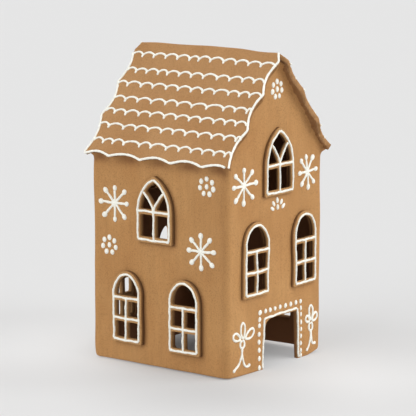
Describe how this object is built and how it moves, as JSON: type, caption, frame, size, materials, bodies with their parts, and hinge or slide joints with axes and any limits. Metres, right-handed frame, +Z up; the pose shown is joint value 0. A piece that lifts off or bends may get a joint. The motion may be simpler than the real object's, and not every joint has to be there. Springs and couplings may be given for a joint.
{
  "type": "ceramic gingerbread house tealight holder",
  "caption": "Hollow ceramic gingerbread house for a tealight: two gables, scalloped roof slabs, raised arched and pointed window frames, a doorway and white piped icing.",
  "frame": {"origin": "middle of the base, on the surface that the house stands on", "axes": "+Z up, the ridge along Y, the front gable with the doorway towards -Y"},
  "size_m": [0.1508, 0.164, 0.271],
  "materials": {
    "wall_clay": "unglazed matte",
    "roof_clay": "unglazed, sandy",
    "frame_clay": "unglazed matte",
    "icing": "satin white slip, piped"
  },
  "bodies": {
    "root": {"walls": "wall_clay", "roof_left": "roof_clay", "roof_right": "roof_clay", "window_left_back": "frame_clay", "window_left_front": "frame_clay", "window_front_left": "frame_clay", "window_front_right": "frame_clay", "window_right_front": "frame_clay", "window_right_back": "frame_clay", "window_back_left": "frame_clay", "window_back_right": "frame_clay", "window_left_pointed": "frame_clay", "window_front_pointed": "frame_clay", "window_right_pointed": "frame_clay", "window_back_pointed": "frame_clay"}
  },
  "joints": []
}
